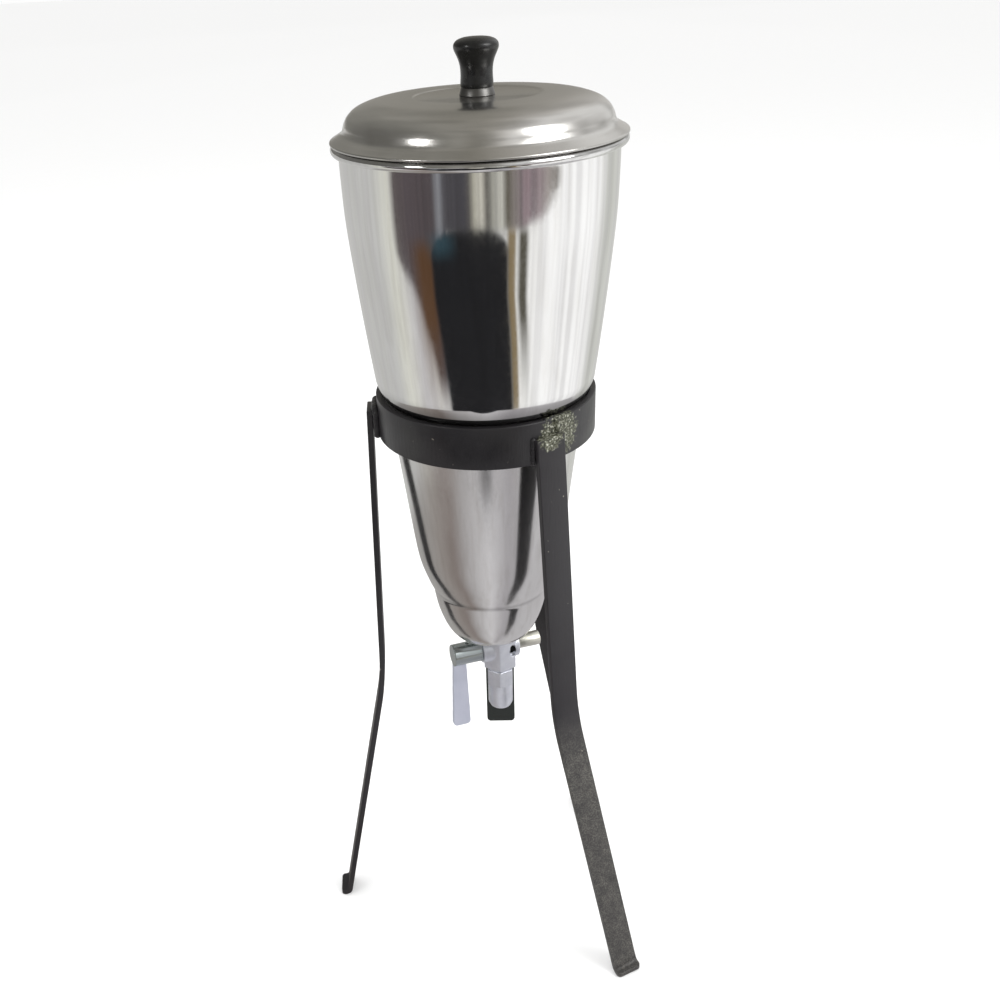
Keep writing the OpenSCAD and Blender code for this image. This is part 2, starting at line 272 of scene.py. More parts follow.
def polishedAluminium(name):
    # spun aluminium sheet buffed to a mirror: bright, faintly warm, with long draw marks up
    # the wall and a dulled haze in patches
    material, tree, shader, place = newMaterial(name)
    marks = blotches(tree, place, 5.0, 3, (1, 1, 0.012))
    haze = blotches(tree, place, 38, 3, (1, 1, 0.45))
    scuff = blotches(tree, place, 2.4, 5, (1, 1, 0.6))
    tone = addNode(tree, "Mix", {0: haze, 6: "#d6d5d4", 7: "#f1f1f0"}, 2, data_type="RGBA")
    tone = addNode(tree, "Mix", {0: addNode(tree, "ValToRGB", {0: marks},
                                            stops=[(0.3, 0.0), (0.55, 1.0)]), 6: "#dcdbd9", 7: tone}, 2,
                   data_type="RGBA")
    rough = addNode(tree, "MapRange",
                    {"Value": addNode(tree, "Math", {0: haze, 1: scuff}, operation="ADD"),
                     "From Min": 0.6, "From Max": 1.4, "To Min": 0.045, "To Max": 0.13})
    height = addNode(tree, "SeparateXYZ", {0: place}, "Z")
    waist = addNode(tree, "MapRange",
                    {"Value": height, "From Min": 0.575, "From Max": 0.555, "To Min": 0.0,
                     "To Max": 0.075})
    rough = addNode(tree, "Math", {0: rough, 1: waist}, operation="ADD")
    # painted shade: dark bands painted where shade falls, in the crease, where the wall sits in the
    # hoop, and under the lid's flange
    paintedShadeBands = addNode(tree, "ValToRGB", {0: height},
                    stops=[(0.3722, 0.0), (0.3734, 0.75), (0.3742, 0.75), (0.3756, 0.0), (0.56, 0.0),
                           (0.562, 0.7), (0.57, 0.35), (0.576, 0.0), (0.7576, 0.0), (0.7584, 0.9)])
    colour = addNode(tree, "Mix", {0: paintedShadeBands, 6: tone, 7: "#3c3a38"}, 2, data_type="RGBA")
    bump = addNode(tree, "Bump", {"Height": marks, "Distance": 0.02 * mm, "Strength": 0.07})
    feed(tree, shader, {"Base Color": colour, "Roughness": rough, "Metallic": 1.0, "Normal": bump})
    return material


def satinAluminium(name):
    # spun aluminium left with its tool rings and a satin, slightly yellowed film
    material, tree, shader, place = newMaterial(name)
    flat = addNode(tree, "VectorMath", {0: place, 1: (1, 1, 0)}, operation="MULTIPLY")
    radius = addNode(tree, "VectorMath", {0: flat}, "Value", operation="LENGTH")
    rings = addNode(tree, "TexNoise", {"W": radius, "Scale": 700.0, "Detail": 3.0},
                    noise_dimensions="1D")
    cloud = blotches(tree, place, 26)
    tone = addNode(tree, "Mix", {0: cloud, 6: "#bfbdb8", 7: "#dfddda"}, 2, data_type="RGBA")
    height = addNode(tree, "SeparateXYZ", {0: place}, "Z")
    tone = addNode(tree, "Mix", {0: rings, 6: tone, 7: "#cccac6"}, 2, data_type="RGBA")
    # painted shade: the lid below its flange, in the shadowed gap inside the vessel's mouth, is painted
    # near black
    paintedShadeBands = addNode(tree, "ValToRGB", {0: height}, stops=[(0.7602, 0.9), (0.761, 0.0)])
    colour = addNode(tree, "Mix", {0: paintedShadeBands, 6: tone, 7: "#33312f"}, 2, data_type="RGBA")
    rough = addNode(tree, "MapRange", {"Value": cloud, "To Min": 0.12, "To Max": 0.3})
    bump = addNode(tree, "Bump", {"Height": rings, "Distance": 0.03 * mm, "Strength": 0.5})
    feed(tree, shader, {"Base Color": colour, "Roughness": rough, "Metallic": 1.0, "Normal": bump})
    return material


def castMetal(name, dark, light, roughLow, roughHigh, grainMm=1.6, deepMm=0.06, metallic=1.0,
              pocket=None, shinyAbove=None):
    # die-cast or machined metal, lightly tumbled: soft blotches and a fine skin
    material, tree, shader, place = newMaterial(name)
    cloud = blotches(tree, place, grainMm * 5)
    skin = blotches(tree, place, grainMm, 4)
    colour = addNode(tree, "Mix", {0: cloud, 6: dark, 7: light}, 2, data_type="RGBA")
    rough = addNode(tree, "MapRange",
                    {"Value": addNode(tree, "Math", {0: cloud, 1: skin}, operation="ADD"),
                     "From Min": 0.7, "From Max": 1.3, "To Min": roughLow, "To Max": roughHigh})
    shine = metallic
    if pocket:  # painted shade: the recessed pocket of the casting is painted near black, where shade falls in it
        pocketShade = addNode(tree, "ValToRGB", {0: nearTo(tree, place, pocket, 6.5)},
                         stops=[(0.28, 0.0), (0.42, 1.0)])
        colour = addNode(tree, "Mix", {0: pocketShade, 6: colour, 7: "#1d1f1f"}, 2, data_type="RGBA")
    if shinyAbove:  # the hub is turned bright, the blade below it stays tumbled
        height = addNode(tree, "SeparateXYZ", {0: place}, "Z")
        turned = addNode(tree, "MapRange",
                         {"Value": height, "From Min": shinyAbove - 0.002, "From Max": shinyAbove})
        colour = addNode(tree, "Mix", {0: turned, 6: colour, 7: "#b9c1c2"}, 2, data_type="RGBA")
        rough = addNode(tree, "Mix", {0: turned, 2: rough, 3: 0.2})
        shine = addNode(tree, "MapRange", {"Value": turned, "To Min": metallic})
    bump = addNode(tree, "Bump", {"Height": skin, "Distance": deepMm * mm, "Strength": 0.5})
    feed(tree, shader, {"Base Color": colour, "Roughness": rough, "Metallic": shine, "Normal": bump})
    return material


def mouldedPlastic(name, dark, light, rough, coat=0.0):
    # compression-moulded thermoset or injected plastic: even colour, faint handling haze
    material, tree, shader, place = newMaterial(name)
    haze = blotches(tree, place, 7)
    skin = blotches(tree, place, 0.9, 3)
    colour = addNode(tree, "Mix", {0: haze, 6: dark, 7: light}, 2, data_type="RGBA")
    handled = addNode(tree, "MapRange",
                      {"Value": haze, "From Min": 0.3, "From Max": 0.7, "To Min": rough,
                       "To Max": rough + 0.12})
    bump = addNode(tree, "Bump", {"Height": skin, "Distance": 0.02 * mm, "Strength": 0.4})
    feed(tree, shader, {"Base Color": colour, "Roughness": handled, "Coat Weight": coat, "Normal": bump})
    return material


weldPatch = {"centre": (57, -70, 546), "reach": 30}
enamelHoop = brushedEnamel("brushedEnamelHoop", "#161517", "#201e21", weldPatch)
enamelLeg = brushedEnamel("brushedEnamelLegs", "#1b191c", "#262427")
enamelWornAndLit = brushedEnamel("brushedEnamelWornLitLeg", "#1c1a1d", "#272528",
                           {"centre": (48, -80, 548), "reach": 17}, True)
mirrorAluminium = polishedAluminium("buffedAluminium")
ringedAluminium = satinAluminium("spunSatinAluminium")
phenolic = mouldedPlastic("blackPhenolic", "#0a0a0a", "#0f0f0f", 0.24, 0.1)
darkNylon = mouldedPlastic("darkNylon", "#121815", "#1c231f", 0.38)
nitrile = mouldedPlastic("nitrileRubber", "#141414", "#202020", 0.6)
tapZinc = castMetal("tapZincCasting", "#c6c9d3", "#e6e8ee", 0.30, 0.48, 1.6, 0.05, 0.8,
                    pocket=(18.0, -7.6, 302.0))
leverZinc = castMetal("leverZincCasting", "#c2c6d6", "#d9dcea", 0.34, 0.46, 3.0, 0.05, 0.6,
                      shinyAbove=0.2925)
paleBrass = castMetal("paleBrass", "#cfcdc0", "#ecebe2", 0.28, 0.45, 1.2)
dullAluminium = castMetal("dullAluminium", "#5f5e5c", "#7a7977", 0.30, 0.42, 2.0)
brightSteel = castMetal("brightSteelStrip", "#b7b7b8", "#d8d8d8", 0.16, 0.28, 4.0, 0.02)
wireSteel = castMetal("drawnSteelWire", "#a9a9aa", "#cfcfcf", 0.25, 0.35, 2.0, 0.02)
zincScrew = castMetal("zincPlatedScrew", "#a7a9a8", "#c9cbc8", 0.28, 0.4, 1.0, 0.02)
print("materials made")


def roundedBar(inner, outer, low, high, corner):
    line = (arc((outer - corner, low + corner), corner, -90, 0, 3)
            + arc((outer - corner, high - corner), corner, 0, 90, 3)
            + arc((inner + corner, high - corner), corner, 90, 180, 3)
            + arc((inner + corner, low + corner), corner, 180, 270, 3))
    return line + line[:1]


# the stand's hoop, a flat bar on edge with rolled corners
hoopBox = [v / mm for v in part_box("stand_hoop")[1]]
hoopSize = {"radius": hoopBox[0], "thick": 5.0, "top": hoopBox[2], "tall": 35.0, "corner": 0.9}
hoopLine = roundedBar(hoopSize["radius"] - hoopSize["thick"], hoopSize["radius"],
                      hoopSize["top"] - hoopSize["tall"], hoopSize["top"], hoopSize["corner"])
hoopBar = spinOutline("hoopBar", hoopLine, 160)
finishPiece(hoopBar, "stand", enamelHoop, ("stand_hoop",))


# azimuth is measured from -Y towards +X; leans are sideways, above and below the bend
legSize = {"thick": 5.0, "wide": 25.0, "top": 548.0, "upTilt": 1.4, "splay": 11.0, "upper": 241.0,
           "bendRadius": 322.5, "bendSteps": 10, "toeRadius": 5.5, "toeSteps": 6, "toe": 4.0,
           "corner": 3.5, "edge": 0.7, "sole": 0.45, "gap": 0.05}
legPlaces = {"frontLeg": {"node": "leg_front", "azimuth": 31.2, "leanUp": 2.6, "leanLow": 7.0,
                          "off": 0.0, "enamel": enamelWornAndLit},
             "leftLeg": {"node": "leg_left", "azimuth": -86.6, "leanUp": 1.1, "leanLow": -2.2,
                         "off": 3.4, "enamel": enamelLeg},
             "rearLeg": {"node": "leg_rear", "azimuth": 147.6, "leanUp": 0.0, "leanLow": -4.2,
                         "off": 0.0, "enamel": enamelLeg}}


def barLengths(leanUp, leanLow):
    # lengths of the bar from its top: straight, bend, straight down to the toe's bend, toe
    s = legSize
    tilt, splay = radians(s["upTilt"]), radians(s["splay"])
    bend = radians(s["splay"] - s["upTilt"])
    drop = (s["upper"] * cos(tilt) + s["bendRadius"] * (sin(splay) - sin(tilt))) * cos(radians(leanUp))
    toeTop = s["toeRadius"] * (1 - sin(splay)) + s["thick"] / 2 + s["sole"]
    lower = (s["top"] - drop - toeTop) / cos(splay) / cos(radians(leanLow))
    steps = [(s["upper"], 0.0)]
    steps += [(s["bendRadius"] * bend / s["bendSteps"], 1 / s["bendSteps"])] * s["bendSteps"]
    steps += [(lower, 0.0)]
    toeBend = radians(90 - s["splay"])
    steps += [(s["toeRadius"] * toeBend / s["toeSteps"], 2 / s["toeSteps"])] * s["toeSteps"]
    return steps + [(s["toe"], 0.0)]


def makeLeg(name, place):
    s = legSize
    steps = barLengths(place["leanUp"], place["leanLow"])
    deselectAll()
    bpy.ops.mesh.primitive_plane_add(size=1)
    leg = bpy.context.object
    leg.name = name
    bpy.ops.object.mode_set(mode="EDIT")
    bpy.ops.transform.resize(value=(s["thick"] * mm, s["wide"] * mm, 1))
    for length, turn in steps:
        bpy.ops.mesh.extrude_region_move(TRANSFORM_OT_translate={"value": (0, 0, -length * mm)})
    bpy.ops.mesh.select_all(action="SELECT")
    bpy.ops.mesh.normals_make_consistent(inside=False)
    # round the toe's two corners
    end = -sum(length for length, turn in steps) * mm
    cornerY = s["wide"] * mm * 0.4
    for side in (-1, 1):
        selectVerts(leg, lambda v: abs(v.co.z - end) < 1e-5 and v.co.y * side > cornerY)
        bpy.ops.mesh.bevel(offset=s["corner"] * mm, segments=4)
    # turn everything below each ring, from the toe upwards, while the bar above is still straight
    depths = [sum(length for length, turn in steps[:k]) for k in range(len(steps) + 1)]
    bpy.ops.object.mode_set(mode="OBJECT")
    ringOf = [min(range(len(depths)), key=lambda k: abs(-v.co.z / mm - depths[k]))
              for v in leg.data.vertices]
    toeTurn = (90 - s["splay"]) / s["toeSteps"]
    bendTurn = (s["splay"] - s["upTilt"]) / s["bendSteps"]
    kink = (place["leanLow"] - place["leanUp"]) / s["bendSteps"]
    for ring in range(len(depths) - 2, 0, -1):
        before, after = steps[ring - 1][1], steps[ring][1]
        if max(before, after) == 0.0:
            continue
        isToe = ring > s["bendSteps"] + 1
        half = 0.5 if before != after else 1.0
        turn = half * (toeTurn if isToe else bendTurn)
        pivot = (0, 0, -depths[ring] * mm)
        for share, test in ((0.5, lambda r: r == ring), (1.0, lambda r: r > ring)):
            selectVerts(leg, lambda v: test(ringOf[v.index]))
            turnPicked(-turn * share, "Y", pivot)
            sideways = -place["leanLow"] / s["toeSteps"] if isToe else kink
            if sideways:
                turnPicked(sideways * half * share, "X", pivot)
    bpy.ops.object.mode_set(mode="OBJECT")
    selectVerts(leg, lambda v: True)
    bpy.ops.transform.translate(value=(s["thick"] / 2 * mm, 0, 0))
    turnPicked(-s["upTilt"], "Y", (0, 0, 0))
    turnPicked(place["leanUp"], "X", (0, 0, 0))
    outward = hoopSize["radius"] + s["gap"] + place["off"]
    bpy.ops.transform.translate(value=(outward * mm, 0, s["top"] * mm))
    turnPicked(place["azimuth"] - 90, "Z", (0, 0, 0))
    bpy.ops.object.mode_set(mode="OBJECT")
    applyModifier(leg, "BEVEL", width=s["edge"] * mm, segments=3, limit_method="ANGLE",
                  angle_limit=radians(40))
    finishPiece(leg, "stand", place["enamel"], (place["node"],))
    return leg


for legName, place in legPlaces.items():
    leg = makeLeg(legName, place)
    low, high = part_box(place["node"])
    print(legName, "lowest", round(min(v.co.z for v in leg.data.vertices) / mm, 2), "mm, CAD",
          round(low[2] / mm, 2))
print("stand made")


def smoothRemesh(obj, voxelMm, rounds, keep=0.5):
    # even out a mesh into one soft skin, as casting and welding leave it
    applyModifier(obj, "REMESH", mode="VOXEL", voxel_size=voxelMm * mm)
    applyModifier(obj, "SMOOTH", factor=0.5, iterations=rounds)
    if keep < 1:
        applyModifier(obj, "DECIMATE", decimate_type="COLLAPSE", ratio=keep)


def addLump(place, size, stretch=(1, 1, 1)):
    deselectAll()
    bpy.ops.mesh.primitive_ico_sphere_add(subdivisions=2, radius=size * mm,
                                          location=[p * mm for p in place])
    lump = bpy.context.object
    bpy.ops.object.transform_apply(location=True, rotation=False, scale=False)
    bpy.ops.object.mode_set(mode="EDIT")
    bpy.ops.mesh.select_all(action="SELECT")
    bpy.ops.transform.resize(value=stretch, center_override=[p * mm for p in place])
    bpy.ops.object.mode_set(mode="OBJECT")
    return lump


def onHoop(azimuth, height, out=0.0, aside=0.0):
    # a point on the hoop's outside, aside millimetres round from an azimuth in degrees
    radius = hoopSize["radius"] + out
    turn = radians(azimuth) + aside / hoopSize["radius"]
    return (radius * sin(turn), -radius * cos(turn), height)


# stick-weld beads: short rows of overlapping lumps beside and over each leg's upper end
weldSize = {"lump": 2.5, "pitch": 2.4, "rows": 9, "beside": 0.4, "voxel": 0.6,
            "overLump": 3.8, "overPitch": 2.8, "overOut": 1.6}
lumps = []
for legName, place in legPlaces.items():
    for side in (-1, 1):
        for k in range(weldSize["rows"]):
            height = legSize["top"] - 1 - k * weldSize["pitch"]
            size = weldSize["lump"] * random.uniform(0.8, 1.15) + place["off"] * 0.3
            aside = side * (legSize["wide"] / 2 + weldSize["beside"])
            lumps.append(addLump(onHoop(place["azimuth"], height, place["off"] * 0.4, aside), size))
    # only the leg that stands off the hoop is welded over its upper end as well
    for k in range(weldSize["rows"] if place["off"] else 0):
        aside = (k - weldSize["rows"] // 2) * weldSize["overPitch"]
        size = weldSize["overLump"] * random.uniform(0.85, 1.1)
        lumps.append(addLump(onHoop(place["azimuth"], legSize["top"] + 0.5, weldSize["overOut"], aside),
                             size, (1, 1, 1.15)))
# the hoop's own ends are welded together just past the front leg, down the face and over the edge
seam = {"azimuth": 36.5, "drift": 0.25, "lumps": 6, "lump": 2.6, "pitch": 4.0, "edgeAzimuth": 35.5,
        "edge": ((-7.0, 2.6), (-3.5, 2.2), (0.0, 3.0), (3.2, 2.4))}
for k in range(seam["lumps"]):
    spot = onHoop(seam["azimuth"] + seam["drift"] * k, hoopSize["top"] - 1.5 - k * seam["pitch"], 0.2)
    lumps.append(addLump(spot, seam["lump"] * random.uniform(0.85, 1.2)))
for aside, size in seam["edge"]:
    spot = onHoop(seam["edgeAzimuth"], hoopSize["top"] - 0.6, -2.0, aside)
    lumps.append(addLump(spot, size, (1, 1, 0.75)))
weldBeads = joinPieces(lumps, "weldBeads")
smoothRemesh(weldBeads, weldSize["voxel"], 3, 0.6)
finishPiece(weldBeads, "stand", enamelHoop, ("weld_beads",), 60)
print("welds made")


# the spun vessel, outside profile as radius and height in millimetres
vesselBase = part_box("vessel")[0][2] / mm
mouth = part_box("vessel")[1][2] / mm
vesselSize = {"wall": 1.5, "bead": 3.5, "beadRadius": 107.6,
              "bowl": [(22, 0), (33, 3.5), (41, 14), (47, 30), (50, 44), (51, 52)],
              "waist": [(51.6, 53.5), (56, 64), (62, 83), (65.8, 107), (71, 150), (77.5, 202),
                        (82.5, 232), (85.1, 241.3), (87.6, 246.5), (89.6, 253)],
              "cone": [(90, 256), (93.3, 282), (98.8, 330), (103.6, 380), (105, 415), (105.2, 433)]}
outer = []
for part in ("bowl", "waist", "cone"):
    outer += curveThrough([(r, z + vesselBase) for r, z in vesselSize[part]], 5)
beadCentre = (vesselSize["beadRadius"], mouth - vesselSize["bead"])
beadLine = arc(beadCentre, vesselSize["bead"], -130, 178, 22)
outline = ([(0, vesselBase)] + outer[:-1] + beadLine + beside(outer, vesselSize["wall"])[::-1]
           + [(0, vesselBase + vesselSize["wall"])])
vesselShell = spinOutline("vesselShell", outline, 240)
finishPiece(vesselShell, "vessel", mirrorAluminium, ("vessel",), 50)
print("vessel made")


# the lid: a rolled flange, a small step, a dome and a sunk middle
lidLow, lidHigh = [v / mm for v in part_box("lid_shell")[0]], [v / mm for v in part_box("lid_shell")[1]]
lidSize = {"radius": lidHigh[0], "skirt": 9.0, "sheet": 1.2, "recess": 46.6, "face": lidHigh[2] - 1.0}
flangeZ = lidLow[2] + lidSize["skirt"]
lidDome = curveThrough([(lidSize["radius"] - 1.6, flangeZ + 2.7), (106.5, flangeZ + 4.6),
                        (102.4, flangeZ + 7.2), (100.8, flangeZ + 10.2), (99.6, flangeZ + 14),
                        (96.6, flangeZ + 19), (89.6, flangeZ + 24.2), (76, flangeZ + 28.2),
                        (60, flangeZ + 29.4), (48.6, flangeZ + 29.6)], 5)
inside = [p for p in beside(lidDome, lidSize["sheet"]) if p[1] > flangeZ + 9 and p[0] > 48.6]
face, recess = lidSize["face"], lidSize["recess"]
lidOutline = ([(0, face), (recess - 0.6, face), (recess + 0.4, face + 0.3), (recess + 1, face + 0.8)]
              + lidDome[::-1] + arc((lidSize["radius"] - 1.2, flangeZ + 1.2), 1.2, 60, -90, 8)
              + [(103.2, flangeZ), (102.4, flangeZ - 0.6), (102.4, lidLow[2] + 0.4), (102.0, lidLow[2]),
                 (101.4, lidLow[2]), (101, lidLow[2] + 0.4), (101, flangeZ + 7)] + inside
              + [(47.6, face - lidSize["sheet"]), (0, face - lidSize["sheet"])])
lidShell = spinOutline("lidShell", lidOutline, 240)
finishPiece(lidShell, "lid", ringedAluminium, ("lid_shell",), 50)

collarLow, collarHigh = (corner[2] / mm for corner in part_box("knob_collar"))
collarLine = [(3.1, collarLow), (12.9, collarLow), (13.2, collarLow + 0.3), (12.9, collarLow + 1.2),
              (12.1, collarHigh - 0.7), (11.5, collarHigh), (3.1, collarHigh), (3.1, collarLow)]
knobCollar = spinOutline("knobCollar", collarLine, 96)
finishPiece(knobCollar, "lid", dullAluminium, ("knob_collar",))

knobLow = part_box("knob")[0][2] / mm
knobLine = curveThrough([(11.9, 0.6), (12.1, 3), (11.8, 9), (12.1, 14.5), (13.4, 19.5), (15.2, 23.5),
                         (16.3, 26.2), (16.55, 28.2), (16.0, 30.2), (14.0, 32.2), (10, 33.7), (5, 34.3),
                         (0.0, 34.45)], 5)
knobBore = [(0, 17), (3.02, 16.5), (3.02, 0), (11.4, 0)]
knobPiece = spinOutline("knobPiece", knobBore + knobLine, 96)
selectVerts(knobPiece, lambda v: True)
bpy.ops.transform.translate(value=(0, 0, knobLow * mm))
bpy.ops.object.mode_set(mode="OBJECT")
finishPiece(knobPiece, "lid", phenolic, ("knob",), 50)
print("lid made")


# castings keep the frame's shape with the edges softened as a mould leaves them
castings = {"tapBody": ("tap_body", "vessel", tapZinc, "tap_casting", 0.5, 5),
            "spoutPipe": ("spout", "vessel", tapZinc, "tap_casting", 0.5, 5),
            "tapLever": ("tap_lever", "tap_handle", leverZinc, "tap_casting", 0.45, 4),
            "backPlate": ("back_plate", "vessel", darkNylon, "plate_plastic", 0.6, 3)}
for name, (node, body, material, slotName, voxel, rounds) in castings.items():
    piece = copyNode(node, name)
    smoothRemesh(piece, voxel, rounds, 0.5)
    finishPiece(piece, body, material, (node,), 60)
print("castings made")


# turned and pressed metal keeps the frame's shape with a fine broken edge
turnedParts = {"outletNut": ("outlet_nut", "vessel", paleBrass, "tap_brass", 0.5),
               "tapPlug": ("tap_plug", "tap_handle", paleBrass, "tap_brass", 0.3),
               "plugNut": ("plug_nut", "tap_handle", paleBrass, "tap_brass", 0.6),
               "plateScrew": ("back_plate_screw", "vessel", zincScrew, "fastener_steel", 0.25),
               "plugWasher": ("plug_washer", "tap_handle", zincScrew, "fastener_steel", 0.2),
               "leverPin": ("lever_pin", "tap_handle", zincScrew, "fastener_steel", 0.2),
               "knobScrew": ("knob_screw", "lid", zincScrew, "fastener_steel", 0.25),
               "knobWasher": ("knob_washer", "lid", zincScrew, "fastener_steel", 0.2),
               "sealInner": ("seal_inner", "vessel", nitrile, "seal_rubber", 0.3),
               "sealOuter": ("seal_outer", "vessel", nitrile, "seal_rubber", 0.3),
               "fineGrips": ("fine_grips", "fine_sieve", wireSteel, "sieve_steel", 0),
               "coarseGrips": ("coarse_grips", "coarse_sieve", wireSteel, "sieve_steel", 0)}
for name, (node, body, material, slotName, edge) in turnedParts.items():
    piece = copyNode(node, name)
    makeActive(piece)
    bpy.ops.object.mode_set(mode="EDIT")
    bpy.ops.mesh.select_all(action="SELECT")
    bpy.ops.mesh.dissolve_limited(angle_limit=radians(1))
    bpy.ops.object.mode_set(mode="OBJECT")
    if edge:
        applyModifier(piece, "BEVEL", width=edge * mm, segments=2, limit_method="ANGLE",
                      angle_limit=radians(50))
    finishPiece(piece, body, material, (node,), 40)
print("small parts made")


# sieves: a strip hoop with a rolled upper edge, and plain woven wire dished inside it
sieves = {"fine": {"body": "fine_sieve", "pitch": 2.2, "wire": 0.55, "drop": 29.0, "taper": 2.4},
          "coarse": {"body": "coarse_sieve", "pitch": 4.6, "wire": 1.0, "drop": 13.0, "taper": 0.0}}


def wovenDish(name, radius, rimZ, drop, pitch, wire):
    strands = []
    count = int(2 * radius / pitch)
    sphere = (radius ** 2 + drop ** 2) / (2 * drop)
    for along in (0, 1):
        deselectAll()
        bpy.ops.mesh.primitive_grid_add(x_subdivisions=count, y_subdivisions=count,
                                        size=2 * radius * mm)
        grid = bpy.context.object
        selectVerts(grid, lambda v: hypot(v.co.x, v.co.y) > (radius - 0.3) * mm)
        bpy.ops.mesh.delete(type="VERT")
        bpy.ops.mesh.select_all(action="SELECT")
        bpy.ops.mesh.delete(type="ONLY_FACE")
        bpy.ops.mesh.select_mode(type="EDGE")
        bpy.ops.mesh.select_all(action="DESELECT")
        bpy.ops.object.mode_set(mode="OBJECT")
        verts = grid.data.vertices
        for edge in grid.data.edges:
            a, b = (verts[i].co for i in edge.vertices)
            edge.select = abs(a[along] - b[along]) < 1e-6
        bpy.ops.object.mode_set(mode="EDIT")
        bpy.ops.mesh.delete(type="EDGE")
        bpy.ops.object.mode_set(mode="OBJECT")
        step = 2 * radius / count
        for vert in verts:
            i, j = (round((c / mm + radius) / step) for c in vert.co[:2])
            over = 1 if (i + j + along) % 2 else -1
            out = hypot(vert.co.x, vert.co.y) / mm
            dish = sphere - sqrt(sphere ** 2 - out ** 2)
            vert.co.z = (rimZ - drop + dish + over * wire * 0.45) * mm
        makeActive(grid)
        bpy.ops.object.convert(target="CURVE")
        grid = bpy.context.object
        grid.data.bevel_depth = wire / 2 * mm
        grid.data.bevel_resolution = 0
        grid.data.use_fill_caps = True
        bpy.ops.object.convert(target="MESH")
        strands.append(bpy.context.object)
    return joinPieces(strands, name)


for label, sieve in sieves.items():
    low, high = [[v / mm for v in corner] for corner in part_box(label + "_hoop")]
    foot = (high[0] - sieve["taper"], low[2] + 0.6)
    top = (high[0] - 0.9, high[2] - 2)
    strip = ([(foot[0] - 1.0, low[2] + 0.3), (foot[0] - 0.2, low[2] + 0.2), (foot[0] - 0.2, foot[1]),
              top] + arc((high[0] - 1.3, high[2] - 1.3), 1.25, -30, 200, 12) + [(top[0] - 1.1, top[1])])
    hoop = spinOutline(label + "SieveHoop", strip + strip[:1], 160)
    finishPiece(hoop, sieve["body"], brightSteel, (label + "_hoop",), 50)
    meshHigh = [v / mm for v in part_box(label + "_mesh")[1]]
    weave = wovenDish(label + "SieveWire", meshHigh[0], meshHigh[2] - 0.2, sieve["drop"],
                      sieve["pitch"], sieve["wire"])
    finishPiece(weave, sieve["body"], wireSteel, (label + "_mesh",), 0)
print("sieves made")


# the studio: a wide seamless floor, pale surroundings and two large soft lights
def surroundings():
    world = bpy.data.worlds.new("paleRoom")
    bpy.context.scene.world = world
    world.use_nodes = True
    tree = world.node_tree
    output = tree.nodes["World Output"]
    isMirrored = addNode(tree, "LightPath", output="Is Glossy Ray")
    facing = addNode(tree, "TexCoord", output="Generated")
    side = addNode(tree, "MapRange",
                   {"Value": addNode(tree, "SeparateXYZ", {0: facing}, "X"), "From Min": -1.0})
    walls = addNode(tree, "ValToRGB", {0: side},
                    stops=[(0.0, "#6d6c6a"), (0.22, "#8e8d88"), (0.36, "#a7a59f"), (0.5, "#97948c"),
                           (0.57, "#b8b5af"), (0.65, "#e4e2df"), (0.73, "#ffffff"), (1.0, "#ececec")])
    cloth = addNode(tree, "TexNoise", {"Vector": facing, "Scale": 2.6, "Detail": 3.0})
    walls = addNode(tree, "Mix", {0: addNode(tree, "ValToRGB", {0: cloth},
                                             stops=[(0.44, 0.0), (0.6, 0.5)]), 6: walls, 7: "#75746e"},
                    2, data_type="RGBA")
    floorward = addNode(tree, "MapRange",
                        {"Value": addNode(tree, "SeparateXYZ", {0: facing}, "Z"), "From Min": 0.05,
                         "From Max": -0.1})
    room = addNode(tree, "Mix", {0: floorward, 6: walls, 7: "#d8d6d2"}, 2, data_type="RGBA")
    seen = addNode(tree, "Background", {"Color": hexColour("#f8f8f8"), "Strength": 1.05})
    mirrored = addNode(tree, "Background", {"Color": room, "Strength": 0.95})
    mixed = addNode(tree, "MixShader", {0: isMirrored, 1: seen, 2: mirrored})
    feed(tree, output, {0: mixed})


def softLight(name, place, aim, size, power, mirrored=True):
    bpy.ops.object.light_add(type="AREA", location=place)
    light = bpy.context.object
    light.name = name
    light.data.shape = "ELLIPSE"
    light.data.size, light.data.size_y = size
    light.data.energy = power
    light.visible_glossy = mirrored
    light.rotation_euler = (Vector(aim) - Vector(place)).to_track_quat("-Z", "Y").to_euler()


def makeFloor():
    deselectAll()
    bpy.ops.mesh.primitive_plane_add(size=60)
    floor = bpy.context.object
    floor.name = "studioFloor"
    material, tree, shader, place = newMaterial("paleSeamlessPaper")
    fleck = blotches(tree, place, 60)
    colour = addNode(tree, "Mix", {0: fleck, 6: "#f9f9f8", 7: "#fbfbfb"}, 2, data_type="RGBA")
    feed(tree, shader, {"Base Color": colour, "Roughness": 0.9, "Specular IOR Level": 0.1})
    floor.data.materials.append(material)


